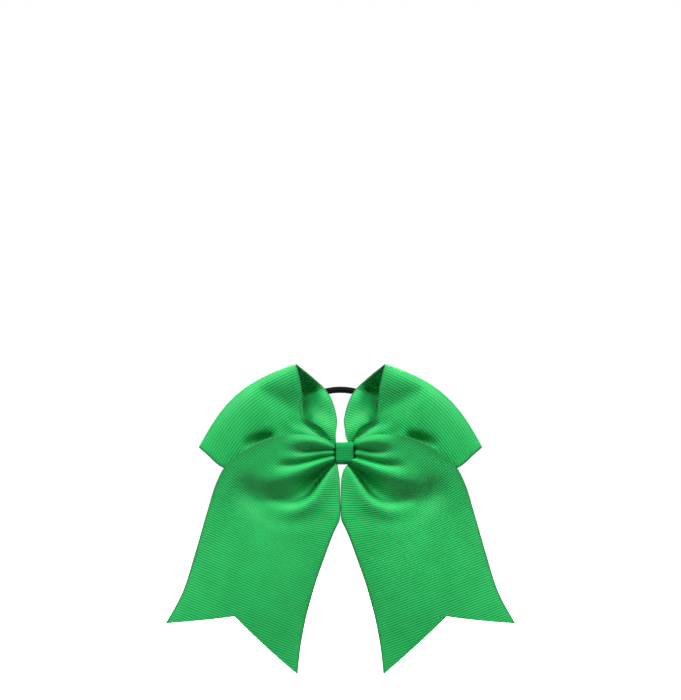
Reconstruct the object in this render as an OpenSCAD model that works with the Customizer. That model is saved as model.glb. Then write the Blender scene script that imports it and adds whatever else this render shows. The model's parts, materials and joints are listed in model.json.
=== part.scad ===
// Cheer hair bow: a wide ribbon of two tails and a wide ribbon of two loops, gathered together at
// the middle, bound with thread and covered by a narrow ribbon knot that also holds a hair elastic.
// +Z is up, the front faces -Y, and the origin is the middle of the knot's flat back.

/* [Ribbon] */
// Width of the wide grosgrain ribbon
ribbon_w = 76; // [70:1:80]
// Thickness of the wide ribbon
ribbon_t = 0.5; // [0.4:0.05:0.7]
// Depth of the V cut in the tails, as a share of a tail's length
notch = 0.14; // [0.08:0.01:0.2]
// Where the V cut's apex lies across a tail, as a share of its width from the outer edge
notch_at = 0.45; // [0.4:0.05:0.6]
// How far the pleats stand up and down from the ribbon, next to the knot
pleat_h = 2; // [1:0.1:2.5]

/* [Knot] */
// Width of the narrow ribbon that covers the middle
knot_w = 10; // [9:0.5:11]
// Height of the knot
knot_h = 12.4; // [12:0.2:13]
// Thickness of the narrow ribbon
knot_t = 0.5; // [0.4:0.05:0.6]
// Outer corner radius of the knot, seen from the side
knot_r = 3; // [2:0.5:4]
// Length of the narrow ribbon's glued end, where it overlaps itself at the back
overlap_l = 7; // [5:0.5:8]
// How far the knot sits to the right of the bow's middle
knot_shift = 2.4; // [0:0.1:2.5]

/* [Hair elastic] */
// Diameter of the elastic with its braided cover
elastic_d = 3.5; // [3:0.1:3.6]
// Diameter of the rubber core
core_d = 2.2; // [1.5:0.1:2.4]
// Height of the elastic's oval, from middle to middle of the cord
oval_h = 39.5; // [36:0.5:40]
// Radius of the oval's top
oval_top_r = 31; // [30:1:34]
// Length of the straight stretch inside the knot, measured from its middle
oval_straight = 7.5; // [7.5:0.1:8]
// How far the oval leans back from upright
lean = 26; // [24:1:28]

/* [Hidden] */
$fn = 48;

green = [0.10, 0.60, 0.28];
knot_green = [0.05, 0.55, 0.25];
black = [0.05, 0.05, 0.06];

// Everything that follows the ribbon's width is written for a 76 mm ribbon and scaled by this.
size = ribbon_w / 76;

// Where the layers lie, from the back of the knot towards the front.
fit_gap = 0.05;
elastic_y = -2 * knot_t - fit_gap - elastic_d / 2;
gather_back_y = elastic_y - elastic_d / 2 - fit_gap;
thread_t = 0.45;
gather_d = 9;
gather_y = gather_back_y - thread_t - fit_gap - gather_d / 2;
knot_front_y = gather_y - gather_d / 2 - thread_t - 2 * fit_gap - knot_t;
knot_d = -knot_t - knot_front_y;
gather_h = knot_h - 2 * (knot_t + thread_t + 2 * fit_gap);

// Each tail bends between these heights: the strip between them flexes, and below it the tail
// swings as one piece, a hair's breadth away from the strip.
bend_top = -8;
bend_bottom = -24;
bend_gap = 0.3;

// A smooth curve through the points p, at f from 0 at the first to 1 at the last.
function along(p, f) =
    let (n = len(p) - 1, u = f * n, i = min(floor(u), n - 1), w = u - i,
         a = p[max(i - 1, 0)], b = p[i], c = p[i + 1], d = p[min(i + 2, n)])
    0.5 * (2 * b + (c - a) * w + (2 * a - 5 * b + 4 * c - d) * w * w
           + (3 * b - a - 3 * c + d) * w * w * w);

function unit(v) = v / norm(v);

// The left tail's two edges, from the knot to the tips, how far its middle bulges forward, and how
// far it bulges away from the knot in the ribbon's own plane.
tail_outer = [[-5.1, -13, 3.3], [-10, -14.5, 7.2], [-22, -17.5, 10.5], [-36, -19, 9], [-50, -18, 3],
              [-64, -15, -8], [-70.5, -12, -24], [-76, -10, -42], [-81.5, -10, -60],
              [-87.5, -11, -78], [-96, -12, -93.5]];
tail_inner = [[-5.1, -13, -4.3], [-6.2, -13, -7.6], [-1, -13.5, -17], [-0.6, -14, -30],
              [-2.7, -14, -42], [-7.5, -13, -54], [-11.5, -12, -67], [-15, -11, -80],
              [-18.3, -11, -93], [-21, -11, -107], [-23.5, -12, -121]];
tail_bulge = [0, 3, 6, 9, 10.5, 11, 11, 10.5, 9, 6, 2];
tail_swell = [0, 4, 9, 10, 7, 3, 1, 0, 0, 0, 0];
tail_swell_way = unit([-0.86, 0, -0.5]);

// The left loop's two edges, from the front of the knot round the fold to the back of the knot,
// how far its middle bulges towards the back, and how far it bulges outward in the fold's own plane.
loop_upper = [[-5.3, -10, 4.3], [-9.5, -11, 13], [-20, -12, 21], [-22.5, -15, 32],
              [-24, -15.5, 42], [-25, -10, 49.5], [-15.5, -5, 42], [-6.8, -5, 33],
              [-3, -6, 21], [-3.6, -7.5, 12], [-5.3, -7.8, 4.3]];
loop_lower = [[-5.3, -10, -4], [-20, -10.5, -10], [-37, -11.5, -12.5], [-52, -12.5, -11.5],
              [-65, -13, -7.8], [-78, -9, 3.5], [-66, -5.5, -6], [-52, -5, -9], [-36, -5.5, -9],
              [-20, -7, -6.5], [-5.3, -7.8, -4]];
loop_bulge = [0, -0.6, -2, -4, -5.5, 0, 5, 3, 0.2, 0, 0];
loop_swell = [0, 0, 1, 3, 6, 7.5, 6, 3, 1, 0, 0];
swell_way = unit([-0.66, 0, 0.75]);

// Pleats: a ridge near the outer edge, then about every quarter of the width.
pleat_n = 3.5;
pleat_start = 0.05;
function pleat(t) = cos(360 * pleat_n * (t - pleat_start));
// Full near the knot and gone by the distance reach, both as shares of the length.
function fade(f, reach) = f >= reach ? 0 : pow(1 - f / reach, 2) * (0.15 + 6.5 * f / reach);

// The knot's shift moves a ribbon's end with it, towards the bow's middle on the left and away
// from it on the right. The move dies out a short way along the ribbon.
function end_move(f, side) = side * knot_shift * max(0, 1 - f / 0.2) * [1, 0, 0];

function tail_point(f, t, side) =
    let (o = along(tail_outer, f), i = along(tail_inner, f))
    size * (o + (i - o) * t + end_move(f, side)
            + tail_swell_way * along(tail_swell, f) * sin(180 * t)
            - [0, along(tail_bulge, f) * sin(180 * t) + pleat_h * fade(f, 0.45) * pleat(t), 0]);

function loop_point(f, t, side) =
    let (u = along(loop_upper, f), l = along(loop_lower, f), from_knot = min(f, 1 - f))
    size * (u + (l - u) * t + swell_way * along(loop_swell, f) * sin(180 * t)
            + end_move(from_knot, side)
            + [0, along(loop_bulge, f) * sin(180 * t)
                  - 0.35 * pleat_h * fade(from_knot, 0.2) * pleat(t), 0]);

// The share of the tail's length at which the V cut ends it.
function tail_end(t) = 1 - notch * (t < notch_at ? t / notch_at : (1 - t) / (1 - notch_at));

// A ribbon through a grid of points, given its own thickness along its normals.
module ribbon(p) {
    rows = len(p);
    cols = len(p[0]);
    function normal(i, j) =
        unit(cross(p[min(i + 1, rows - 1)][j] - p[max(i - 1, 0)][j],
                   p[i][min(j + 1, cols - 1)] - p[i][max(j - 1, 0)]));
    skin = rows * cols;
    function at(side, i, j) = side * skin + i * cols + j;
    points = [for (side = [-1, 1], i = [0:rows - 1], j = [0:cols - 1])
              p[i][j] + side * ribbon_t / 2 * normal(i, j)];
    front = [for (i = [0:rows - 2], j = [0:cols - 2], half = [0, 1])
             half == 0 ? [at(0, i, j), at(0, i + 1, j), at(0, i + 1, j + 1)]
                       : [at(0, i, j), at(0, i + 1, j + 1), at(0, i, j + 1)]];
    back = [for (face = front) [for (k = [2:-1:0]) face[k] + skin]];
    rim = concat([for (i = [0:rows - 2]) [at(0, i, 0), at(0, i + 1, 0)]],
                 [for (j = [0:cols - 2]) [at(0, rows - 1, j), at(0, rows - 1, j + 1)]],
                 [for (i = [rows - 1:-1:1]) [at(0, i, cols - 1), at(0, i - 1, cols - 1)]],
                 [for (j = [cols - 1:-1:1]) [at(0, 0, j), at(0, 0, j - 1)]]);
    edge = [for (e = rim, half = [0, 1])
            half == 0 ? [e[0], e[0] + skin, e[1] + skin] : [e[0], e[1] + skin, e[1]]];
    polyhedron(points, concat(front, back, edge));
}

tail_rows = 26;
tail_cols = 22;
loop_rows = 40;
loop_cols = 20;

module whole_tail(side)
    ribbon([for (i = [0:tail_rows])
            [for (j = [0:tail_cols])
             let (t = j / tail_cols) tail_point(i / tail_rows * tail_end(t), t, side)]]);

module between(low, high) translate([-150, -100, low]) cube([300, 200, high - low]);

module shoulder(side) color(green) intersection() {
    whole_tail(side);
    between(bend_top, 60);
}

module tail_bend(side) color(green) intersection() {
    whole_tail(side);
    between(bend_bottom, bend_top);
}

module tail(side) color(green) intersection() {
    whole_tail(side);
    between(-200, bend_bottom - bend_gap);
}

module loop(side) color(green)
    ribbon([for (i = [0:loop_rows])
            [for (j = [0:loop_cols]) loop_point(i / loop_rows, j / loop_cols, side)]]);

// A zigzag strip of ribbon that runs through the knot, seen from its end.
module gathers(y) {
    folds = 7;
    fold_d = 1.3;
    pitch = (gather_h - ribbon_t) / folds;
    zigzag = [for (i = [0:folds]) [(i % 2 == 0 ? -fold_d : fold_d) / 2, pitch * (i - folds / 2)]];
    wall = ribbon_t * norm([fold_d, pitch]) / pitch / 2;
    translate([knot_shift - knot_w / 2 + 0.3, y, 0]) rotate([90, 0, 90]) linear_extrude(knot_w - 0.6)
        polygon(concat([for (q = zigzag) q - [wall, 0]],
                       [for (i = [folds:-1:0]) zigzag[i] + [wall, 0]]));
}

layer_pitch = 2.2;
module tail_gathers() color(green) gathers(gather_y - layer_pitch);
module loop_gathers() color(green) for (k = [0, 1]) gathers(gather_y + k * layer_pitch);

// A band that runs round the gathers: outer size d by h, seen from the side, corner radius r.
module band_outline(y0, y1, h, r) {
    translate([y0 + r, -h / 2 + r]) square([y1 - y0 - 2 * r, h - 2 * r]);
    translate([y0, -h / 2 + r]) square([y1 - y0, h - 2 * r]);
    translate([y0 + r, -h / 2]) square([y1 - y0 - 2 * r, h]);
    for (y = [y0 + r, y1 - r], z = [-h / 2 + r, h / 2 - r]) translate([y, z]) circle(r);
}

module band(x0, w, y0, y1, h, r, wall)
    translate([knot_shift + x0, 0, 0]) rotate([90, 0, 90]) linear_extrude(w) difference() {
        band_outline(y0, y1, h, r);
        band_outline(y0 + wall, y1 - wall, h - 2 * wall, r - wall);
    }

module knot_wrap() color(knot_green) union() {
    band(-knot_w / 2, knot_w, knot_front_y, -knot_t, knot_h, knot_r, knot_t);
    translate([knot_shift - knot_w / 2, -knot_t, -overlap_l / 2]) cube([knot_w, knot_t, overlap_l]);
}

// Turns of thread that bind the gathers.
thread_turns = 5;
thread_pitch = 1.1;
module gather_thread() color(green)
    for (i = [0:thread_turns - 1])
        band((i - (thread_turns - 1) / 2) * thread_pitch - thread_t / 2, thread_t,
             gather_y - gather_d / 2 - thread_t - fit_gap, gather_back_y - fit_gap / 2,
             gather_h + 2 * thread_t + fit_gap, 2.6, thread_t);

// Hot-melt glue above and below the elastic, between the gathers and the knot.
bead_l = 7;
bead_h = 1.8;
module glue_beads() color([0.9, 0.9, 0.8])
    for (s = [-1, 1])
        translate([knot_shift - bead_l / 2, gather_back_y + fit_gap / 2,
                   s * (elastic_d / 2 + 0.35 + bead_h / 2) - bead_h / 2])
            cube([bead_l, elastic_d - 0.1, bead_h]);

// The elastic's oval: a straight stretch inside the knot, two side arcs and one top arc.
top_w = oval_h - oval_top_r;
side_r = (pow(oval_top_r, 2) - pow(oval_straight, 2) - pow(top_w, 2)) / (2 * (oval_top_r - top_w));
top_angle = atan2(side_r - top_w, oval_straight);
held_angle = -25;

// A length of cord of outer radius r, with a hole of radius hole where hole is over 0,
// bent to radius bend between two angles of the oval's plane.
module cord_section(r, hole) difference() {
    circle(r);
    if (hole > 0) circle(hole);
}
module arc(bend, from, to, r, hole)
    rotate([0, 0, from]) rotate_extrude(angle = to - from) translate([bend, 0]) cord_section(r, hole);

// Puts the oval's own plane (across, up) at the knot, leaning back.
module oval_frame() translate([0, elastic_y, 0]) rotate([90 - lean, 0, 0]) children();

module side_arcs(from, to, r, hole)
    for (m = [0, 1]) mirror([m, 0, 0]) translate([oval_straight, side_r, 0]) arc(side_r, from, to, r, hole);

module held_part(r, hole) oval_frame() union() {
    translate([-oval_straight, 0, 0]) rotate([0, 90, 0])
        linear_extrude(2 * oval_straight) cord_section(r, hole);
    side_arcs(-90, held_angle, r, hole);
}
// The far part stops a hair's breadth short of the side strands, which stretch.
module side_part(r, hole) oval_frame() side_arcs(held_angle, top_angle - 1, r, hole);
module far_part(r, hole) oval_frame()
    translate([0, top_w, 0]) arc(oval_top_r, top_angle, 180 - top_angle, r, hole);

cover_r = elastic_d / 2;
core_r = core_d / 2;
cover_hole = core_r + 0.05;

// A crimped ferrule joins the two ends of the rubber core, inside the cover.
ferrule_l = 5;
ferrule_t = 0.3;
module elastic_cover_held() color(black) difference() {
    held_part(cover_r, cover_hole);
    translate([-ferrule_l / 2 - 0.1, elastic_y, 0]) rotate([0, 90, 0])
        cylinder(h = ferrule_l + 0.2, r = core_r + ferrule_t + 0.05);
}
module elastic_core_held() color([0.15, 0.14, 0.13]) held_part(core_r, 0);
module elastic_ferrule() color("silver") translate([-ferrule_l / 2, elastic_y, 0]) rotate([0, 90, 0])
    difference() {
        cylinder(h = ferrule_l, r = core_r + ferrule_t);
        translate([0, 0, -1]) cylinder(h = ferrule_l + 2, r = core_r + 0.02);
    }

module other_side() mirror([1, 0, 0]) children();

knot_wrap();
glue_beads();
gather_thread();
tail_gathers();
loop_gathers();
shoulder(1);  // left_shoulder
other_side() shoulder(-1);  // right_shoulder
tail_bend(1);  // left_tail_bend
other_side() tail_bend(-1);  // right_tail_bend
tail(1);  // left_tail
other_side() tail(-1);  // right_tail
loop(1);  // left_loop
other_side() loop(-1);  // right_loop
elastic_cover_held();
elastic_core_held();
color(black) side_part(cover_r, cover_hole);  // elastic_cover_sides
color([0.15, 0.14, 0.13]) side_part(core_r, 0);  // elastic_core_sides
color(black) far_part(cover_r, cover_hole);  // elastic_cover_far
color([0.15, 0.14, 0.13]) far_part(core_r, 0);  // elastic_core_far
elastic_ferrule();
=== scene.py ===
import json
import math

import bpy
import numpy as np
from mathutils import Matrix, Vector


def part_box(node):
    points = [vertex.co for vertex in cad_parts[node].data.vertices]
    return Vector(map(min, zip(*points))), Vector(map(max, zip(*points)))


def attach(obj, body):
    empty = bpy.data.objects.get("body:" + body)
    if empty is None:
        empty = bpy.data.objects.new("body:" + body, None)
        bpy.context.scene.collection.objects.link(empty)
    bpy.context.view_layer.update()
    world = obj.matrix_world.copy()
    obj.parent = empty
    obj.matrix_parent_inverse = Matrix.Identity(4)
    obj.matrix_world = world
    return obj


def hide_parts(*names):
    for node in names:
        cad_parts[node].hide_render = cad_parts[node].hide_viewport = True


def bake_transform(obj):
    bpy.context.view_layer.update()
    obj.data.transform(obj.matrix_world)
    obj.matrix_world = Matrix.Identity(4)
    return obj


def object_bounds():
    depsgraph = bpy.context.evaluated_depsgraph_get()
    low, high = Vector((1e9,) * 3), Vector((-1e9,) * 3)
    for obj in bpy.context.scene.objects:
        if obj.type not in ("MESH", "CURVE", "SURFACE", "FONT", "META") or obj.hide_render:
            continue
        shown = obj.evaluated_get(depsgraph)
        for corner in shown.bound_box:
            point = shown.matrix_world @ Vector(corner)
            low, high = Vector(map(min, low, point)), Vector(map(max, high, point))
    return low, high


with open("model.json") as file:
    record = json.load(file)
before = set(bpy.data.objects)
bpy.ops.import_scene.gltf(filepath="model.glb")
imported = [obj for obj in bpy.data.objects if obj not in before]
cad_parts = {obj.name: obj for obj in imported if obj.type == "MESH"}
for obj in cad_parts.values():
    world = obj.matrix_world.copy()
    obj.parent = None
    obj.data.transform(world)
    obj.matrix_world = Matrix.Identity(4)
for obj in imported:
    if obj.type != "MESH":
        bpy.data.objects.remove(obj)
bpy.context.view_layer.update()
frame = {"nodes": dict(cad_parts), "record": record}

bpy.context.scene.view_settings.view_transform = "Standard"
MM = 0.001
record = frame["record"]

# ---------------------------------------------------------------- curves and cloth

def along(points, f):
    """A smooth curve through the points at f, 0 at the first and 1 at the last."""
    p = np.asarray(points, float)
    if p.ndim == 1:
        p = p[:, None]
    f = np.clip(np.asarray(f, float), 0, 1)
    n = len(p) - 1
    u = f * n
    i = np.minimum(np.floor(u).astype(int), n - 1)
    w = (u - i)[..., None]
    a, b = p[np.maximum(i - 1, 0)], p[i]
    c, d = p[i + 1], p[np.minimum(i + 2, n)]
    out = 0.5 * (2 * b + (c - a) * w + (2 * a - 5 * b + 4 * c - d) * w ** 2
                 + (3 * b - a - 3 * c + d) * w ** 3)
    return out[..., 0] if np.asarray(points).ndim == 1 else out


def by_length(points, count):
    """The same curve as count points, evenly spaced along its length."""
    q = along(points, np.linspace(0, 1, count * 4))
    d = np.concatenate([[0], np.cumsum(np.linalg.norm(np.diff(q, axis=0), axis=1))])
    at = np.linspace(0, d[-1], count)
    return np.stack([np.interp(at, d, q[:, k]) for k in range(3)], 1)


def ramp(table_f, values, f):
    """Values at f, eased between unevenly spaced stations."""
    f = np.asarray(f, float)
    i = np.clip(np.searchsorted(table_f, f, side="right") - 1, 0, len(table_f) - 2)
    x0, x1 = np.asarray(table_f)[i], np.asarray(table_f)[i + 1]
    t = np.clip((f - x0) / (x1 - x0), 0, 1)
    t = t * t * (3 - 2 * t)
    v = np.asarray(values, float)
    return v[i] + (v[i + 1] - v[i]) * t


FOLD_SAMPLES = 60


def folds(P, table):
    """Height towards the viewer from folds drawn over the ribbon. Each fold is a line of (x, z)
    points, the heights along it, and how far it reaches to the left and to the right of the line.
    A last number, if there is one, sets how pointed its section is; 2 is a smooth bell."""
    here = P[..., [0, 2]]
    total = np.zeros(P.shape[:2])
    count = FOLD_SAMPLES
    for points, heights, reach_left, reach_right, *power in table:
        line = along(points, np.linspace(0, 1, count))
        gap = here[:, :, None] - line
        near = np.argmin((gap ** 2).sum(-1), -1)
        off = np.take_along_axis(gap, near[..., None, None], 2)[:, :, 0]
        way = np.gradient(line, axis=0)[near]
        ahead = np.clip((off * way).sum(-1) / (way ** 2).sum(-1), -0.5, 0.5)
        f = np.clip((near + ahead) / (count - 1), 0, 1)
        off = off - way * (f * (count - 1) - near)[..., None]
        left = way[..., 0] * off[..., 1] - way[..., 1] * off[..., 0] > 0
        reach = np.where(left, along(reach_left, f), along(reach_right, f))
        size = np.linalg.norm(off, axis=-1)
        total += along(heights, f) * np.exp(-(size / reach) ** (power[0] if power else 2))
    return total


EDGE_STIFF = 0.45
SHEAR_STIFF = 0.15
SMOOTHING = 0.2
LAST_SMOOTHING_PASSES = 3


def relax(P, flat, shrink, pull, rounds):
    """Turns a drawn surface P into cloth: every edge of the grid goes to its flat length (times
    shrink near the gathers, where the ribbon is crushed). pull holds points to the drawing, and
    only broad departures from it are kept, because a stiff ribbon doesn't crumple."""
    away = np.zeros_like(P)
    links = []
    nu, nv = P.shape[:2]
    for du, dv in ((1, 0), (0, 1), (1, 1), (1, -1)):
        for start in (0, 1):
            if du:
                i = np.arange(start, nu - 1, 2)
                j = np.arange(1, nv) if dv < 0 else np.arange(nv - dv)
            else:
                i = np.arange(nu)
                j = np.arange(start, nv - 1, 2)
            I, J = np.meshgrid(i, j, indexing="ij")
            K, L = I + du, J + dv
            rest = np.linalg.norm(flat[K, L] - flat[I, J], axis=-1)
            if dv:
                rest = rest * 0.5 * (shrink[K, L] + shrink[I, J])
            stiff = EDGE_STIFF if du == 0 or dv == 0 else SHEAR_STIFF
            links.append((I, J, K, L, rest, stiff))
    for _ in range(rounds):
        X = P + away
        for I, J, K, L, rest, stiff in links:
            d = X[K, L] - X[I, J]
            size = np.linalg.norm(d, axis=-1)
            move = d * (stiff * (1 - rest / np.maximum(size, 1e-9)))[..., None]
            X[I, J] += move
            X[K, L] -= move
        away = X - P
        for _ in range(2):
            lap = np.zeros_like(X)
            lap[1:-1] += away[2:] + away[:-2] - 2 * away[1:-1]
            lap[:, 1:-1] += away[:, 2:] + away[:, :-2] - 2 * away[:, 1:-1]
            away += lap * SMOOTHING
        away *= 1 - pull
    X = P + away
    for _ in range(LAST_SMOOTHING_PASSES):
        X[1:-1] = (X[:-2] + 2 * X[1:-1] + X[2:]) / 4
        X[:, 1:-1] = (X[:, :-2] + 2 * X[:, 1:-1] + X[:, 2:]) / 4
    return X


def cubic(grid, x, y):
    """Smooth reading of a grid at fractional indices."""
    nu, nv = grid.shape[:2]
    x, y = np.clip(x, 0, nu - 1), np.clip(y, 0, nv - 1)
    i, j = np.minimum(np.floor(x).astype(int), nu - 2), np.minimum(np.floor(y).astype(int), nv - 2)
    tx, ty = x - i, y - j

    def weights(t):
        return [(-t + 2 * t ** 2 - t ** 3) / 2, (2 - 5 * t ** 2 + 3 * t ** 3) / 2,
                (t + 4 * t ** 2 - 3 * t ** 3) / 2, (-t ** 2 + t ** 3) / 2]

    out = 0
    for a, wa in enumerate(weights(tx)):
        ia = np.clip(i + a - 1, 0, nu - 1)
        row = 0
        for b, wb in enumerate(weights(ty)):
            row = row + grid[ia, np.clip(j + b - 1, 0, nv - 1)] * wb[..., None]
        out = out + row * wa[..., None]
    return out


# The wide ribbon, in millimetres: rib spacing and depth, thickness, width, and the mesh's rows.
RIB = 1.35
RIB_DEEP = 0.2
RIB_ROUND = 0.8
THICK = 0.5
WIDTH = 76.0
STEP = RIB / 6
SELVEDGE = 0.9
SELVEDGE_LIFT = 0.06
UV_UNIT = 100


def add_object(name, points, faces, material, attributes, flats=None):
    """A smooth-shaded mesh object. points are in millimetres, attributes are per-point values, and
    flats are the flat ribbon's coordinates, shared by its two sides, for the UV map."""
    mesh = bpy.data.meshes.new(name)
    mesh.from_pydata(points * MM, [], faces)
    mesh.validate()
    if flats is not None:
        uv = mesh.uv_layers.new(name="UVMap")
        corners = np.empty(len(mesh.loops), int)
        mesh.loops.foreach_get("vertex_index", corners)
        places = flats[corners % len(flats)] / UV_UNIT
        uv.data.foreach_set("uv", places.astype(np.float32).ravel())
    for label, values in attributes.items():
        layer = mesh.attributes.new(label, "FLOAT", "POINT")
        layer.data.foreach_set("value", values.astype(np.float32).ravel())
    mesh.polygons.foreach_set("use_smooth", np.ones(len(mesh.polygons), bool))
    mesh.materials.append(material)
    obj = bpy.data.objects.new(name, mesh)
    bpy.context.scene.collection.objects.link(obj)
    return obj


def ribbon_mesh(name, at, strips, material, mirror=False):
    """A ribbon of real thickness with ribs on both sides. at(s, w) is the cloth at flat length s
    and width w; each strip is (rows of s, low w, high w, columns)."""
    flats, faces = [], []
    index = {}
    for rows, low, high, columns in strips:
        grid = np.empty((len(rows), columns + 1), int)
        for k, s in enumerate(rows):
            for c in range(columns + 1):
                w = low[k] + (high[k] - low[k]) * c / columns
                key = (round(s, 4), round(w, 3))
                if key not in index:
                    index[key] = len(flats)
                    flats.append((s, w))
                grid[k, c] = index[key]
        for k in range(len(rows) - 1):
            for c in range(columns):
                face = [grid[k, c], grid[k + 1, c], grid[k + 1, c + 1], grid[k, c + 1]]
                face = list(dict.fromkeys(face))
                if len(face) > 2:
                    faces.append(face)
    flats = np.array(flats)
    s, w = flats[:, 0], flats[:, 1]
    nearby = 0.4
    P = at(s, w)
    along_s = at(s + nearby, w) - at(s - nearby, w)
    across = at(s, np.minimum(w + nearby, WIDTH)) - at(s, np.maximum(w - nearby, 0))
    normal = np.cross(along_s, across)
    normal /= np.maximum(np.linalg.norm(normal, axis=1, keepdims=True), 1e-9)
    wave = np.abs(np.sin(np.pi * s / RIB)) ** RIB_ROUND
    from_edge = np.minimum(w, WIDTH - w)
    body = np.clip(from_edge / 1.6, 0.35, 1)
    lift = THICK / 2 - RIB_DEEP + RIB_DEEP * wave * body + SELVEDGE_LIFT * (from_edge < SELVEDGE)
    top, bottom = P + normal * lift[:, None], P - normal * lift[:, None]
    if mirror:
        top[:, 0] *= -1
        bottom[:, 0] *= -1
    n = len(P)
    edges = dict.fromkeys((a, b) for f in faces for a, b in zip(f, f[1:] + f[:1]))
    rim = [(a, b) for a, b in edges if (b, a) not in edges]
    all_faces = faces + [[i + n for i in [f[0]] + f[:0:-1]] for f in faces]
    all_faces += [[b, a, a + n, b + n] for a, b in rim]
    if mirror:
        all_faces = [[f[0]] + f[:0:-1] for f in all_faces]
    rim_set = np.zeros(n)
    for a, b in rim:
        rim_set[a] = rim_set[b] = 1
    # Masks for the material: rib places the painted shade in the grooves, and selvedge and cut
    # place the darker edges, which are partly painted edge shade.
    attributes = {"rib": wave * body, "selvedge": np.clip(1 - from_edge / 1.2, 0, 1),
                  "cut": rim_set}
    return add_object(name, np.concatenate([top, bottom]), all_faces, material,
                      {label: np.tile(values, 2) for label, values in attributes.items()}, flats)


# ---------------------------------------------------------------- materials

def linear(c):
    """A display colour as the shader's linear colour."""
    return tuple(x / 12.92 if x <= 0.04045 else ((x + 0.055) / 1.055) ** 2.4 for x in c) + (1,)


class Nodes:
    """A new material and short ways to add and join its nodes."""

    PROPERTIES = ("operation", "wave_type", "bands_direction", "attribute_name")

    def __init__(self, name):
        self.mat = bpy.data.materials.new(name)
        self.mat.use_nodes = True
        self.tree = self.mat.node_tree
        self.bsdf = self.tree.nodes["Principled BSDF"]

    def join(self, socket, value):
        if isinstance(value, bpy.types.NodeSocket):
            self.tree.links.new(value, socket)
        else:
            socket.default_value = value

    def add(self, kind, **given):
        """A new node. given holds properties, inputs by name, and i_0, i_1 ... by number."""
        node = self.tree.nodes.new("ShaderNode" + kind)
        for key in self.PROPERTIES:
            if key in given:
                setattr(node, key, given.pop(key))
        for key, value in given.items():
            self.join(node.inputs[int(key[2:]) if key.startswith("i_") else key], value)
        return node

    def set(self, name, value):
        self.join(self.bsdf.inputs[name], value)

    def math(self, operation, a, b=0.0, c=0.0):
        return self.add("Math", operation=operation, i_0=a, i_1=b, i_2=c).outputs[0]

    def mix(self, factor, a, b):
        node = self.tree.nodes.new("ShaderNodeMix")
        node.data_type = "RGBA"
        for index, value in ((0, factor), (6, a), (7, b)):
            self.join(node.inputs[index], value)
        return node.outputs[2]

    def attribute(self, name):
        return self.add("Attribute", attribute_name=name).outputs["Fac"]


def grosgrain(name, light, dark, edge):
    """Woven ribbon: ribs from the mesh with painted shade in their grooves, threads, slubs and soft
    clouds over them, and a darker edge that is partly painted edge shade.
    """
    m = Nodes(name)
    uv = m.add("UVMap").outputs[0]
    rib = m.attribute("rib")
    cloudy = m.add("TexNoise", Vector=uv, Scale=9.0, Detail=4.0).outputs[0]
    stretched = m.add("Mapping", Vector=uv, Scale=(20.0, 260.0, 1.0)).outputs[0]
    slubs = m.add("TexNoise", Vector=stretched, Scale=1.0, Detail=3.0).outputs[0]
    threads = m.add("TexWave", wave_type="BANDS", bands_direction="Y", Vector=uv, Scale=62.0,
                    Distortion=0.6, Detail=1.0).outputs[1]
    shade = m.math("MULTIPLY_ADD", cloudy, 0.35, m.math("MULTIPLY", slubs, 0.3))
    # Painted shade: the colour darkens in the grooves between the ribs.
    shade = m.math("MULTIPLY_ADD", rib, 0.55, m.math("SUBTRACT", shade, 0.1))
    colour = m.mix(shade, linear(dark), linear(light))
    # A darker band along the selvedges and cut ends: partly the sealed edge's own colour, partly
    # painted edge shade.
    rim = m.math("MAXIMUM", m.math("MULTIPLY", m.attribute("selvedge"), 0.45), m.attribute("cut"))
    colour = m.mix(m.math("MULTIPLY", rim, 0.6), colour, linear(edge))
    m.set("Base Color", colour)
    m.set("Roughness", m.math("MULTIPLY_ADD", slubs, 0.15, 0.46))
    m.set("Specular IOR Level", 0.3)
    m.set("Sheen Weight", 0.12)
    m.set("Sheen Roughness", 0.4)
    m.set("Sheen Tint", linear((0.75, 0.95, 0.8)))
    height = m.math("MULTIPLY_ADD", threads, 0.35, m.math("MULTIPLY", slubs, 0.65))
    bump = m.add("Bump", Strength=0.25, Distance=0.00008, Height=height)
    m.set("Normal", bump.outputs[0])
    return m.mat


# Colours: light, dark (also the painted shade in the rib grooves), and the darker edge, which is
# partly painted edge shade.
ribbon_green = grosgrain("ribbon", (0.12, 0.79, 0.40), (0.0, 0.45, 0.17), (0.0, 0.26, 0.1))

# ---------------------------------------------------------------- the tails

# Lines are (x, y, z) points in millimetres, for the left side; y is towards the hair. The knot sits
# to the right of the middle, so the two tails leave it differently.
TAIL_OUTER_START = {"left": [[-2.1, -12.8, 4.2], [-9, -16.5, 8.4]],
                    "right": [[-6.9, -12.8, 4.2], [-11.5, -16.5, 8.6]]}
TAIL_OUTER = [[-21, -19.5, 10.6], [-36, -21.5, 9.2], [-50, -20.5, 3.4], [-62, -18, -5.6],
              [-68.4, -15, -17], [-73.8, -11.5, -34], [-79.6, -10, -54], [-86.6, -9.4, -75.8],
              [-96.1, -9.6, -93.4]]
TAIL_INNER_START = {"left": [[-2.1, -12.8, -4.6], [-1.6, -12.8, -7], [-0.8, -13, -12]],
                    "right": [[-6.9, -12.8, -4.4], [-6.4, -13, -6.7], [-2.9, -13.5, -7.1],
                              [-0.9, -13.3, -12]]}
TAIL_INNER = [[-0.3, -13.5, -18], [-0.1, -14, -34.5], [-1.5, -14, -39], [-3.9, -14, -44],
              [-8.4, -13, -56], [-13.3, -12, -70], [-16.5, -11, -81],
              [-19.3, -10.3, -92], [-21.9, -9.6, -106], [-23.6, -9.4, -121.2]]
TAIL_BULGE = [0, 0, -1, -1.5, -1.5, 0, 2.5, 4, 4.5, 4, 2.5]
TAIL_SWELL = [0, 4, 9, 10, 7, 3, 1, 0, 0, 0, 0]
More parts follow.
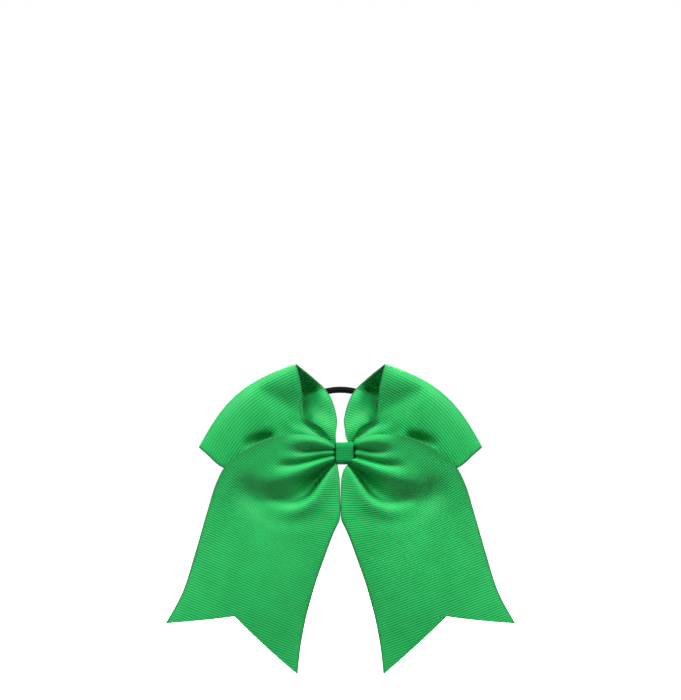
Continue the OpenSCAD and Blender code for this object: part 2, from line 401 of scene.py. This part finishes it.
TAIL_FOLDS = [
    # the roll along the outer edge beside the knot
    ([(-3, 2.6), (-10, 5.6), (-19, 7), (-31, 5)], [0.7, 2.2, 2.8, 0], [1.5, 3, 3.5, 5],
     [1, 1.6, 3, 4]),
    # the crease under it
    ([(-3, 1.5), (-9, 2.2), (-17, 1.6), (-28, -1)], [-0.8, -2.8, -2.6, 0], [0.8, 1.2, 2, 3],
     [0.8, 1.6, 3, 4]),
    # the small ridge and the thin dark crease
    ([(-3, 0.3), (-11, 0), (-22, -1.5), (-34, -3)], [0.6, 1.4, 1.6, 0], [0.8, 1.5, 3, 4],
     [0.8, 1.2, 2, 3]),
    ([(-3, -1), (-10, -2.4), (-18, -4.4), (-26, -6), (-36, -7.5)], [-1.0, -3.4, -4.0, -3.4, 0],
     [0.7, 1.0, 1.3, 1.5, 2.5], [0.7, 1.6, 2.0, 2.0, 3]),
    # the bright ridge
    ([(-3, -2.4), (-12, -5.4), (-22, -10), (-34, -13.5), (-48, -15)],
     [0.9, 3.0, 3.0, 1.8, 0], [0.7, 1.5, 2.4, 3.5, 5], [0.8, 2, 3.5, 5.5, 7]),
    # the deep valley, which opens into a broad hollow
    ([(-3.2, -4.8), (-8, -9.8), (-13, -15.8), (-18, -21.8), (-24, -25.4), (-31, -26.2),
      (-41, -24.8), (-50, -21.2), (-60, -16.5)],
     [-1.6, -7.6, -10.0, -9.7, -6.9, -4.8, -3.8, -2.9, 0], [0.8, 1.4, 1.8, 2.4, 3.6, 6, 9, 9, 8],
     [0.9, 3.2, 6.0, 7.5, 8, 8, 8, 8, 7]),
    # the bulge that swings out from under it
    ([(-3, -6.4), (-6.4, -13), (-12, -21.5), (-20, -28), (-32, -30), (-46, -28)],
     [0.6, 1.6, 2.2, 2.2, 1.2, 0], [2, 4, 5, 4.5, 4.5, 6], [1, 2.0, 2.5, 3, 3, 4]),
    # soft hollows below
    ([(-24, -26.5), (-32, -27.5), (-41, -25)], [0, -1.0, 0], [2, 2, 2], [2, 2, 2]),
    ([(-6, -34), (-15, -36), (-29, -37.5), (-41, -35), (-52, -29)],
     [0, -0.8, -1.0, -0.6, 0], [5, 5, 4.5, 5, 5], [6, 7, 7, 7, 7])]
# The flat tail: its length at the outer edge, how much the slanted gather takes at the inner edge,
# the notch's depth, and its apex from the outer edge.
TAIL_LONG = 158.0
TAIL_SLANT = 36.0
TAIL_NOTCH = 17.5
NOTCH_AT = 33.5
TAIL_GRID = (121, 61)
TAIL_ROUNDS = 400
TAIL_COLUMNS = (28, 36)


def crushed(near, reach):
    """How far the ribbon's width is gathered: to 0.3 at the knot, and back to 1 over reach."""
    return 1 - 0.7 * np.exp(-(near / reach) ** 2)


def held(near, reach):
    """How firmly the cloth keeps to the drawing: most at the knot, hardly at all past reach."""
    return 0.02 + 0.5 * np.clip(1 - near / reach, 0, 1)


def rails(v):
    """1 along the ribbon's two edges, falling to 0 just inside them."""
    return np.exp(-(np.minimum(v, 1 - v) / 0.03) ** 2)


def tail_cloth(side):
    """The tail's cloth, read by flat length and width. u runs from the knot to the points, v from
    the outer edge to the inner one."""
    nu, nv = TAIL_GRID
    u = np.linspace(0, 1, nu)[:, None]
    v = np.linspace(0, 1, nv)[None, :]
    outer = by_length(TAIL_OUTER_START[side] + TAIL_OUTER, nu)
    inner = by_length(TAIL_INNER_START[side] + TAIL_INNER, nu)
    P = outer[:, None] + (inner - outer)[:, None] * v[..., None]
    bump = np.sin(np.pi * v)
    way = np.array([-0.86, 0, -0.5]) / math.hypot(0.86, 0.5)
    P = P + way * (along(TAIL_SWELL, u) * bump)[..., None]
    P[..., 1] -= along(TAIL_BULGE, u) * bump
    P[..., 1] -= folds(P, TAIL_FOLDS)
    s = TAIL_SLANT * v + u * (TAIL_LONG - TAIL_SLANT * v)
    flat = np.stack([s, v * WIDTH + 0 * u], -1)
    shrink = crushed(u, 0.13) + 0 * v
    hold = held(u, 0.06) + 0 * v
    pull = np.empty(P.shape)
    pull[..., 0] = pull[..., 2] = hold + 0.8 * rails(v)
    pull[..., 1] = hold + 0.15 * np.clip(1 - u / 0.5, 0, 1)
    X = relax(P, flat, shrink, np.clip(pull, 0, 1), TAIL_ROUNDS)

    def at(s, w):
        vv = w / WIDTH
        uu = (s - TAIL_SLANT * vv) / (TAIL_LONG - TAIL_SLANT * vv)
        return cubic(X, uu * (nu - 1), vv * (nv - 1))
    return at


def tail_strips():
    """The tail as two strips of rows that meet at the notch's apex."""
    rows = np.arange(0, TAIL_LONG + STEP / 2, STEP)
    rows[-1] = TAIL_LONG
    left = (TAIL_LONG - rows) / TAIL_NOTCH
    start = WIDTH * rows / TAIL_SLANT
    near = np.minimum(np.minimum(NOTCH_AT, start), NOTCH_AT * left)
    far_rows = rows >= TAIL_SLANT * NOTCH_AT / WIDTH
    low = np.maximum(NOTCH_AT, WIDTH - (WIDTH - NOTCH_AT) * left)[far_rows]
    high = np.minimum(WIDTH, start)[far_rows]
    return [(rows, 0 * rows, near, TAIL_COLUMNS[0]),
            (rows[far_rows], low, np.maximum(high, low), TAIL_COLUMNS[1])]


strips = tail_strips()
left_tail = ribbon_mesh("tail_ribbon_left", tail_cloth("left"), strips, ribbon_green)
right_tail = ribbon_mesh("tail_ribbon_right", tail_cloth("right"), strips, ribbon_green, True)

# ---------------------------------------------------------------- the loops

# Each loop starts and ends at x LOOP_START, which stands in for the 0 at its lines' ends.
LOOP_START = {"left": -2.4, "right": -7.2}
LOOP_UPPER_FRONT = [[0, -10, 4.6], [-9.8, -13, 13.4], [-17.6, -15, 18.4], [-20.2, -15.5, 23],
                    [-21.4, -17.8, 36], [-22.9, -18.2, 43.5], [-24.2, -16.8, 47.8],
                    [-24.8, -12, 49.3]]
LOOP_UPPER_BACK = [[-24.8, -12, 49.3], [-21.6, -5.6, 46.9], [-15.5, -3.6, 42], [-6.6, -4, 33],
                   [-2.2, -6, 20]]
LOOP_UPPER_END = {"left": [[-2.6, -7, 11], [0, -7.8, 4.6]],
                  "right": [[-2.6, -6.6, 12.4], [-3.4, -7.2, 7.6], [0, -7.8, 4.4]]}
LOOP_LOWER_FRONT = [[0, -10, -4], [-20, -10.5, -10], [-37, -12, -12.5], [-52, -13.6, -11.5],
                    [-65, -15.4, -7.6], [-73, -15, -0.8], [-77.2, -13, 2.7], [-78, -10, 3.4]]
LOOP_LOWER_BACK = [[-78, -10, 3.4], [-76.8, -7, 2.4], [-72.5, -5.2, -0.6], [-64, -4.6, -6],
                   [-52, -4, -9], [-36, -4.8, -9], [-20, -6.5, -6.5], [0, -7.8, -4]]
LOOP_SWELL = [0, 0, 1, 3, 6, 8.5, 6, 3, 1, 0, 0]
# How far the layers bulge away from each other, and where: stations from the knot round to it.
FRONT_BULGE = 1.2
FRONT_BULGE_ALONG = ([0, 0.25, 0.5, 0.5001, 1], [0, 1, 1, 0, 0])
BACK_BULGE = 7.0
BACK_BULGE_ALONG = ([0, 0.5, 0.5001, 0.58, 0.76, 1], [0, 0, 1, 1, 0, 0])
ROUND_FOLD = 0.12
LOOP_FRONT_FOLDS = [
    # the dented facet beside the front edge, and the ridge under it
    ([(-45, 35), (-37, 31), (-28, 25.5), (-19.5, 21)], [-1.0, -3.6, -4.2, -2.8],
     [5, 8, 11, 12], [3, 9, 13, 12], 1.5),
    # pleats by the knot
    ([(-3, 2.2), (-9, 8.5), (-18, 14.5), (-30, 18)], [-0.6, -1.6, -1.6, 0], [1, 1.5, 2, 3],
     [1, 1.6, 3, 4]),
    ([(-4, 0), (-14, 5), (-27, 10), (-40, 13)], [0.6, 0.4, -1.5, 0], [1, 2, 6, 8], [1, 2, 5, 6]),
    # hollows that open behind the tail's upper edge
    ([(-34, 8.5), (-40, 8), (-46, 6), (-53, 2)], [0, -3.2, -4.4, 0], [3.2, 3.2, 3, 3],
     [4, 3.5, 3, 4])]
LOOP_BACK_FOLDS = [
    # two bellies close to the knot, and the hollow above them
    ([(-22, 17), (-17, 24), (-10, 28), (-3, 29)], [2.0, 2.2, 1.5, 0.5], [2.5, 2.2, 2.2, 3],
     [9, 9, 9, 8]),
    ([(-3, 5), (-8, 12), (-14, 17), (-20, 18)], [0.5, 3.2, 3.6, 2.0], [6, 6, 6, 6], [6, 6, 6, 6]),
    ([(-24, 25), (-19, 32), (-12, 35), (-6, 36)], [-7.2, -7.2, -5, -1.2], [9, 9, 7, 5],
     [3, 3, 3, 3])]
# The flat loop: its length at the lower edge, and how much each gather takes at the upper edge.
LOOP_LONG = 160.0
LOOP_SLANT = 25.0
LOOP_GRID = (161, 57)
LOOP_ROUNDS = 300
LOOP_COLUMNS = 60


def loop_cloth(side):
    """The loop's cloth, read by flat length and width. u runs from the knot along the front layer,
    round the fold at a half, and back to the knot; v runs from the upper edge to the lower one."""
    nu, nv = LOOP_GRID
    u = np.linspace(0, 1, nu)[:, None]
    v = np.linspace(0, 1, nv)[None, :]
    lines = [[list(p) for p in line] for line in
             (LOOP_UPPER_FRONT, LOOP_UPPER_BACK + LOOP_UPPER_END[side],
              LOOP_LOWER_FRONT, LOOP_LOWER_BACK)]
    for line, end in zip(lines, (0, -1, 0, -1)):
        line[end][0] = LOOP_START[side]
    front_u, back_u, front_l, back_l = [by_length(line, nu // 2 + 1) for line in lines]
    upper = np.concatenate([front_u, back_u[1:]])
    lower = np.concatenate([front_l, back_l[1:]])
    P = upper[:, None] + (lower - upper)[:, None] * v[..., None]
    bump = np.sin(np.pi * v)
    way = np.array([-0.66, 0, 0.75])
    P = P + way * (along(LOOP_SWELL, u) * bump)[..., None]
    to_fold = np.clip(1 - np.abs(u - 0.5) / ROUND_FOLD, 0, 1)
    full = np.sqrt(1 - to_fold ** 2)
    P[..., 1] -= FRONT_BULGE * bump * full * ramp(*FRONT_BULGE_ALONG, u)
    P[..., 1] += BACK_BULGE * bump * full * ramp(*BACK_BULGE_ALONG, u)
    front = np.clip((0.5 - u) / 0.06, 0, 1)
    back = np.clip((u - 0.5) / 0.06, 0, 1)
    P[..., 1] -= front * folds(P, LOOP_FRONT_FOLDS) + back * folds(P, LOOP_BACK_FOLDS)
    lead = LOOP_SLANT * (1 - v)
    s = lead + u * (LOOP_LONG - 2 * lead)
    flat = np.stack([s, v * WIDTH + 0 * u], -1)
    near = np.minimum(u, 1 - u)
    shrink = crushed(near, 0.1) + 0 * v
    hold = held(near, 0.04) + 0 * v
    fold_line = np.exp(-((u - 0.5) / 0.02) ** 2)
    pull = np.empty(P.shape)
    pull[..., 0] = pull[..., 2] = hold + 0.8 * rails(v) + 0.2 * fold_line
    pull[..., 1] = hold + 0.15
    X = relax(P, flat, shrink, np.clip(pull, 0, 1), LOOP_ROUNDS)

    def at(s, w):
        vv = w / WIDTH
        lead = LOOP_SLANT * (1 - vv)
        uu = (s - lead) / (LOOP_LONG - 2 * lead)
        return cubic(X, uu * (nu - 1), vv * (nv - 1))
    return at


def loop_strips():
    """The loop as one strip of rows, shorter towards its two gathered ends."""
    rows = np.arange(0, LOOP_LONG + STEP / 2, STEP)
    rows[-1] = LOOP_LONG
    low = WIDTH * np.clip(1 - np.minimum(rows, LOOP_LONG - rows) / LOOP_SLANT, 0, 1)
    return [(rows, low, 0 * rows + WIDTH, LOOP_COLUMNS)]


strips = loop_strips()
left_loop = ribbon_mesh("loop_ribbon_left", loop_cloth("left"), strips, ribbon_green)
right_loop = ribbon_mesh("loop_ribbon_right", loop_cloth("right"), strips, ribbon_green, True)

for side, tail, loop in (("left", left_tail, left_loop), ("right", right_tail, right_loop)):
    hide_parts(side + "_shoulder", side + "_tail_bend", side + "_tail")
    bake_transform(tail)
    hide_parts(side + "_loop")
    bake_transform(loop)

# ---------------------------------------------------------------- the knot

KNOT_THICK = 0.5
KNOT_RIB = 0.92
KNOT_RIB_DEEP = 0.12
KNOT_CURL = 0.22
KNOT_CORNER = 2.75
KNOT_OVERLAP = 7
KNOT_COLUMNS = 20
GLUE_GAP = 0.02


def wrap_path(low, high, corner, overlap):
    """The narrow ribbon's middle line round the knot as (y, z): from its glued end at the back,
    round the top, front and bottom, and up the back again over its own start."""
    (y0, z0), (y1, z1) = low, high
    arcs = []
    for yc, zc, start in ((y1 - corner, z1 - corner, 0), (y0 + corner, z1 - corner, 90),
                          (y0 + corner, z0 + corner, 180), (y1 - corner, z0 + corner, 270)):
        for a in np.radians(np.linspace(start, start + 90, 24)):
            arcs.append((yc + corner * math.cos(a), zc + corner * math.sin(a)))
    lap = KNOT_THICK + GLUE_GAP
    tail = [(y1, z0 + corner + 0.4), (y1 + lap, -overlap / 2 + 0.5), (y1 + lap, overlap / 2)]
    return np.array([(y1, -overlap / 2)] + arcs + tail)


def knot_mesh(name, material):
    """A narrow ribbon with real ribs, wound once round the knot, its edges slightly curled in."""
    lo, hi = [np.array(c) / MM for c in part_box("knot_wrap")]
    half = KNOT_THICK / 2
    path = wrap_path((lo[1] + half, lo[2] + half), (hi[1] - KNOT_THICK - half, hi[2] - half),
                     KNOT_CORNER, KNOT_OVERLAP)
    d = np.concatenate([[0], np.cumsum(np.linalg.norm(np.diff(path, axis=0), axis=1))])
    rows = np.arange(0, d[-1], KNOT_RIB / 6)
    line = np.stack([np.interp(rows, d, path[:, k]) for k in (0, 1)], 1)
    way = np.gradient(line, axis=0)
    way /= np.linalg.norm(way, axis=1, keepdims=True)
    out = np.stack([way[:, 1], -way[:, 0]], 1)
    across = KNOT_COLUMNS + 1
    x = np.linspace(lo[0], hi[0], across)
    from_edge = np.minimum(x - lo[0], hi[0] - x)
    wave = np.abs(np.sin(np.pi * rows / KNOT_RIB)) ** RIB_ROUND
    body = np.clip(from_edge / 0.7, 0.3, 1)
    curl = -KNOT_CURL * np.exp(-from_edge / 0.7)
    ribs = wave[:, None] * body[None]
    points = []
    for sign in (1, -1):
        off = sign * (half - KNOT_RIB_DEEP + KNOT_RIB_DEEP * ribs) + curl[None]
        y = line[:, 0, None] + out[:, 0, None] * off
        z = line[:, 1, None] + out[:, 1, None] * off
        points.append(np.stack([x[None] + 0 * y, y, z], -1).reshape(-1, 3))
    n = len(points[0])
    faces = [[i * across + j, (i + 1) * across + j, (i + 1) * across + j + 1, i * across + j + 1]
             for i in range(len(rows) - 1) for j in range(KNOT_COLUMNS)]
    edges = {(a, b) for f in faces for a, b in zip(f, f[1:] + f[:1])}
    rim = sorted((a, b) for a, b in edges if (b, a) not in edges)
    faces = [f[::-1] for f in faces] + [[i + n for i in f] for f in faces]
    faces += [[a, b, b + n, a + n] for a, b in rim]
    cut = np.zeros((len(rows), across))
    cut[[0, -1]] = 1
    # The same masks: painted shade in the rib grooves, and darker edges that are partly painted
    # edge shade.
    attributes = {"rib": ribs, "selvedge": np.clip(1 - from_edge / 0.5, 0, 1)[None] + 0 * cut,
                  "cut": cut}
    flat = np.stack(np.broadcast_arrays(rows[:, None], x[None]), -1).reshape(-1, 2)
    return add_object(name, np.concatenate(points), faces, material,
                      {label: np.tile(values.ravel(), 2) for label, values in attributes.items()},
                      flat)


# The same colours for the knot's ribbon: light, dark with the painted groove shade, and the darker
# edge that is partly painted edge shade.
knot_green = grosgrain("knot_ribbon", (0.06, 0.65, 0.33), (0.0, 0.42, 0.19), (0.0, 0.27, 0.12))
knot_green.node_tree.nodes["Principled BSDF"].inputs["Specular IOR Level"].default_value = 0.12
knot = knot_mesh("knot_ribbon", knot_green)
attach(knot, "knot")
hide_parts("knot_wrap")

# ---------------------------------------------------------------- the hair tie

# The elastic: its thickness; its middle line's place in depth, its height, the radius of its top,
# the half length of its straight stretch and how far it leans back; its cover's and core's radii;
# and the braid's depth, pitch and number of strands.
ELASTIC_D = 3.5
ELASTIC_Y = -2.8
OVAL_H = 39.5
OVAL_TOP_R = 31.0
OVAL_STRAIGHT = 7.5
LEAN = math.radians(26)
COVER_R = ELASTIC_D / 2 - 0.08
CORE_R = 1.08
BRAID_DEEP = 0.2
BRAID_PITCH = 3.4
BRAID_STRANDS = 8


def oval_points(count):
    """The middle line of the hair tie, once round, in millimetres: a straight stretch in the knot,
    two side arcs and a top arc, leaning back."""
    top_w = OVAL_H - OVAL_TOP_R
    side_r = (OVAL_TOP_R ** 2 - OVAL_STRAIGHT ** 2 - top_w ** 2) / (2 * (OVAL_TOP_R - top_w))
    turn = math.atan2(side_r - top_w, OVAL_STRAIGHT)
    half = [(0, 0), (OVAL_STRAIGHT / 2, 0)]
    half += [(OVAL_STRAIGHT + side_r * math.cos(a), side_r + side_r * math.sin(a))
             for a in np.linspace(-math.pi / 2, turn, 90)]
    half += [(OVAL_TOP_R * math.cos(a), top_w + OVAL_TOP_R * math.sin(a))
             for a in np.linspace(turn, math.pi / 2, 60)[1:]]
    line = np.array(half + [(-x, y) for x, y in half[-2:0:-1]] + [half[0]])
    d = np.concatenate([[0], np.cumsum(np.linalg.norm(np.diff(line, axis=0), axis=1))])
    at = np.linspace(0, d[-1], count, endpoint=False)
    x, up = np.interp(at, d, line[:, 0]), np.interp(at, d, line[:, 1])
    return np.stack([x, ELASTIC_Y + up * math.sin(LEAN), up * math.cos(LEAN)], 1), d[-1]


def cord_mesh(name, radius, count, around, lift, material):
    """A closed cord along the hair tie's oval. lift(t, a, long) raises its surface: t is the
    distance along it in millimetres, a the angle round it, and long its whole length."""
    line, long = oval_points(count)
    way = np.roll(line, -1, 0) - np.roll(line, 1, 0)
    way /= np.linalg.norm(way, axis=1, keepdims=True)
    side = np.array([0, math.cos(LEAN), -math.sin(LEAN)])
    other = np.cross(way, side)
    t = np.arange(count)[:, None] * long / count
    a = np.arange(around)[None] * 2 * math.pi / around
    raised = np.broadcast_to(lift(t, a, long), (count, around))
    r = (radius + raised)[..., None]
    spoke = np.cos(a)[..., None] * side + np.sin(a)[..., None] * other[:, None]
    points = line[:, None] + r * spoke
    faces = [[i * around + j, i * around + (j + 1) % around,
              (i + 1) % count * around + (j + 1) % around, (i + 1) % count * around + j]
             for i in range(count) for j in range(around)]
    # weave is the relief's height, which the material reads to paint shade in its hollows.
    return add_object(name, points.reshape(-1, 3), faces, material, {"weave": raised / BRAID_DEEP})


def braid(t, a, long):
    """Two sets of strands that wind opposite ways round the cord, over and under each other."""
    turns = 2 * math.pi * round(long / (BRAID_PITCH * BRAID_STRANDS / 2)) * t / long
    one = BRAID_STRANDS / 2 * (a + turns)
    two = BRAID_STRANDS / 2 * (a - turns)
    over = 0.5 + 0.5 * np.sin(one) * np.sin(two)
    strand_one, strand_two = np.abs(np.cos(one)), np.abs(np.cos(two))
    return BRAID_DEEP * np.maximum(strand_one * (0.35 + 0.65 * over),
                                   strand_two * (1 - 0.65 * over))


def fabric(name, light, dark):
    """Fuzzy yarn, with painted shade between its strands."""
    m = Nodes(name)
    where = m.add("TexCoord").outputs["Object"]
    fuzz = m.add("TexNoise", Vector=where, Scale=3500.0, Detail=3.0).outputs[0]
    # Painted shade: the colour darkens where the weave is low, between the strands.
    shade = m.math("MULTIPLY_ADD", fuzz, 0.4, m.math("MULTIPLY", m.attribute("weave"), 0.6))
    m.set("Base Color", m.mix(shade, linear(dark), linear(light)))
    m.set("Roughness", m.math("MULTIPLY_ADD", fuzz, 0.2, 0.62))
    m.set("Specular IOR Level", 0.1)
    m.set("Normal", m.add("Bump", Strength=0.4, Distance=0.00006, Height=fuzz).outputs[0])
    return m.mat


def rubber_strands(t, a, long):
    """Twelve shallow flutes along the core."""
    return 0.02 * np.sin(12 * a) + 0 * t


cover = cord_mesh("hair_tie_cover", COVER_R, 720, 48, braid,
                  fabric("elastic_cover", (0.05, 0.05, 0.052), (0.004, 0.004, 0.005)))
core = cord_mesh("hair_tie_core", CORE_R, 360, 20, rubber_strands,
                 fabric("elastic_core", (0.24, 0.22, 0.2), (0.12, 0.11, 0.1)))
for piece, kind in ((cover, "cover"), (core, "core")):
    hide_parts(*("elastic_%s_%s" % (kind, part) for part in ("held", "sides", "far")))
    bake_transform(piece)

# ---------------------------------------------------------------- materials for the CAD nodes

def crushed_ribbon():
    """Ribbon packed inside the knot: the same green, ribs across the strip, with painted shade in
    their grooves.
    """
    m = Nodes("gathered_ribbon")
    where = m.add("TexCoord").outputs["Object"]
    ribs = m.add("TexWave", wave_type="BANDS", bands_direction="X", Vector=where, Scale=370.0,
                 Distortion=0.4, Detail=1.0).outputs[1]
    cloudy = m.add("TexNoise", Vector=where, Scale=900.0, Detail=3.0).outputs[0]
    # Painted shade: the colour darkens in the troughs of the ribs' wave.
    shade = m.math("MULTIPLY_ADD", ribs, 0.6, m.math("MULTIPLY", cloudy, 0.4))
    m.set("Base Color", m.mix(shade, linear((0.0, 0.42, 0.16)), linear((0.12, 0.74, 0.38))))
    m.set("Roughness", m.math("MULTIPLY_ADD", cloudy, 0.15, 0.48))
    m.set("Specular IOR Level", 0.3)
    m.set("Normal", m.add("Bump", Strength=0.5, Distance=0.0001, Height=ribs).outputs[0])
    return m.mat


def thread():
    """Twisted polyester sewing thread, its turns lying side by side, with painted shade between
    them.
    """
    m = Nodes("thread")
    where = m.add("TexCoord").outputs["Object"]
    slanted = m.add("Mapping", Vector=where, Rotation=(0.6, 0.6, 0.6)).outputs[0]
    twist = m.add("TexWave", wave_type="BANDS", bands_direction="DIAGONAL", Vector=slanted,
                  Scale=900.0, Distortion=1.0, Detail=1.0).outputs[1]
    fuzz = m.add("TexNoise", Vector=where, Scale=5000.0, Detail=2.0).outputs[0]
    # Painted shade: the colour darkens in the grooves between the turns.
    shade = m.math("MULTIPLY_ADD", twist, 0.7, m.math("MULTIPLY", fuzz, 0.3))
    m.set("Base Color", m.mix(shade, linear((0.0, 0.25, 0.1)), linear((0.15, 0.6, 0.33))))
    m.set("Roughness", 0.6)
    m.set("Sheen Weight", 0.2)
    m.set("Normal", m.add("Bump", Strength=0.6, Distance=0.00008, Height=twist).outputs[0])
    return m.mat


def glue():
    """Cloudy hot-melt glue."""
    m = Nodes("glue")
    where = m.add("TexCoord").outputs["Object"]
    cloudy = m.add("TexNoise", Vector=where, Scale=500.0, Detail=4.0).outputs[0]
    m.set("Base Color", m.mix(cloudy, linear((0.78, 0.77, 0.68)), linear((0.95, 0.94, 0.88))))
    m.set("Roughness", m.math("MULTIPLY_ADD", cloudy, 0.2, 0.2))
    m.set("Subsurface Weight", 0.3)
    m.set("Subsurface Radius", (0.001, 0.001, 0.0008))
    m.set("Subsurface Scale", 1.0)
    m.set("Normal", m.add("Bump", Strength=0.3, Distance=0.0002, Height=cloudy).outputs[0])
    return m.mat


def ferrule():
    """Crimped aluminium tube, satin, with fine drawn lines along it."""
    m = Nodes("ferrule")
    where = m.add("TexCoord").outputs["Object"]
    drawn = m.add("Mapping", Vector=where, Scale=(300.0, 6000.0, 6000.0)).outputs[0]
    lines = m.add("TexNoise", Vector=drawn, Scale=1.0, Detail=2.0).outputs[0]
    m.set("Base Color", m.mix(lines, linear((0.66, 0.67, 0.69)), linear((0.82, 0.82, 0.83))))
    m.set("Metallic", 1.0)
    m.set("Roughness", m.math("MULTIPLY_ADD", lines, 0.2, 0.28))
    m.set("Normal", m.add("Bump", Strength=0.2, Distance=0.00002, Height=lines).outputs[0])
    return m.mat


made = {"ribbon": crushed_ribbon(), "knot_ribbon": knot_green, "thread": thread(), "glue": glue(),
        "elastic_cover": cover.data.materials[0], "elastic_core": core.data.materials[0],
        "ferrule": ferrule()}
slot_of = {p["node"]: p["material_slot"] for p in record["subparts"]}
for node, obj in frame["nodes"].items():
    obj.data.materials.clear()
    obj.data.materials.append(made[slot_of[node]])

# ---------------------------------------------------------------- studio

BOW_MIDDLE = Vector((0, -0.012, -0.036))
AMBIENT = 0.1


def area_light(name, where, size, power):
    """A square light that faces the bow."""
    data = bpy.data.lights.new(name, "AREA")
    data.shape = "RECTANGLE"
    data.size = data.size_y = size
    data.energy = power
    obj = bpy.data.objects.new(name, data)
    bpy.context.scene.collection.objects.link(obj)
    obj.location = where
    obj.rotation_euler = (BOW_MIDDLE - Vector(where)).to_track_quat("-Z", "Y").to_euler()


area_light("key_left", (-0.65, -0.5, 0.8), 0.25, 14.4)
area_light("key_right", (0.65, -0.5, 0.8), 0.25, 14.4)
area_light("back", (0, 0.9, 0.75), 0.5, 14)

# The camera sees white behind the bow, and everything else gets only a little ambient light.
world = bpy.data.worlds.new("studio")
bpy.context.scene.world = world
world.use_nodes = True
sky = world.node_tree.nodes["Background"]
sky.inputs[0].default_value = (1, 1, 1, 1)
light_path = world.node_tree.nodes.new("ShaderNodeLightPath")
strength = world.node_tree.nodes.new("ShaderNodeMath")
strength.operation = "MAXIMUM"
strength.inputs[1].default_value = AMBIENT
world.node_tree.links.new(light_path.outputs["Is Camera Ray"], strength.inputs[0])
world.node_tree.links.new(strength.outputs[0], sky.inputs[1])

# A round pale floor that grows brighter with distance, so that it meets the white behind it.
FLOOR_R = 6
FLOOR_SIDES = 96
lowest = float(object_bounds()[0][2]) - 0.001
ring = [(FLOOR_R * math.cos(a), FLOOR_R * math.sin(a), lowest)
        for a in np.linspace(0, 2 * math.pi, FLOOR_SIDES, False)]
floor_mesh = bpy.data.meshes.new("floor")
floor_mesh.from_pydata(ring, [], [list(range(FLOOR_SIDES))])
floor = bpy.data.objects.new("floor", floor_mesh)
bpy.context.scene.collection.objects.link(floor)
floor.visible_diffuse = False
pale = Nodes("pale_floor")
pale.set("Base Color", (0.9, 0.9, 0.9, 1))
pale.set("Roughness", 0.7)
place = pale.add("NewGeometry").outputs["Position"]
reach = pale.add("VectorMath", operation="LENGTH", i_0=place).outputs[1]
glow = pale.math("MINIMUM", pale.math("MULTIPLY_ADD", reach, 1.6, 0.35), 1.1)
pale.set("Emission Color", (1, 1, 1, 1))
pale.set("Emission Strength", glow)
floor_mesh.materials.append(pale.mat)

# ---------------------------------------------------------------- camera

# A long lens, square to the bow, that shows SHOWN metres from top to bottom. The knot is KNOT_BELOW
# under the picture's middle.
LENS = 150
SENSOR = 36
SHOWN = 0.385
KNOT_BELOW = 0.056815
camera_data = bpy.data.cameras.new("camera")
camera = bpy.data.objects.new("camera", camera_data)
bpy.context.scene.collection.objects.link(camera)
bpy.context.scene.camera = camera
camera_data.lens = LENS
camera_data.sensor_width = SENSOR
camera_data.sensor_fit = "AUTO"
distance = SHOWN * LENS / SENSOR
camera.location = (0, -distance + BOW_MIDDLE.y, 0)
camera.rotation_euler = (math.radians(90) + math.atan(KNOT_BELOW / distance), 0, 0)
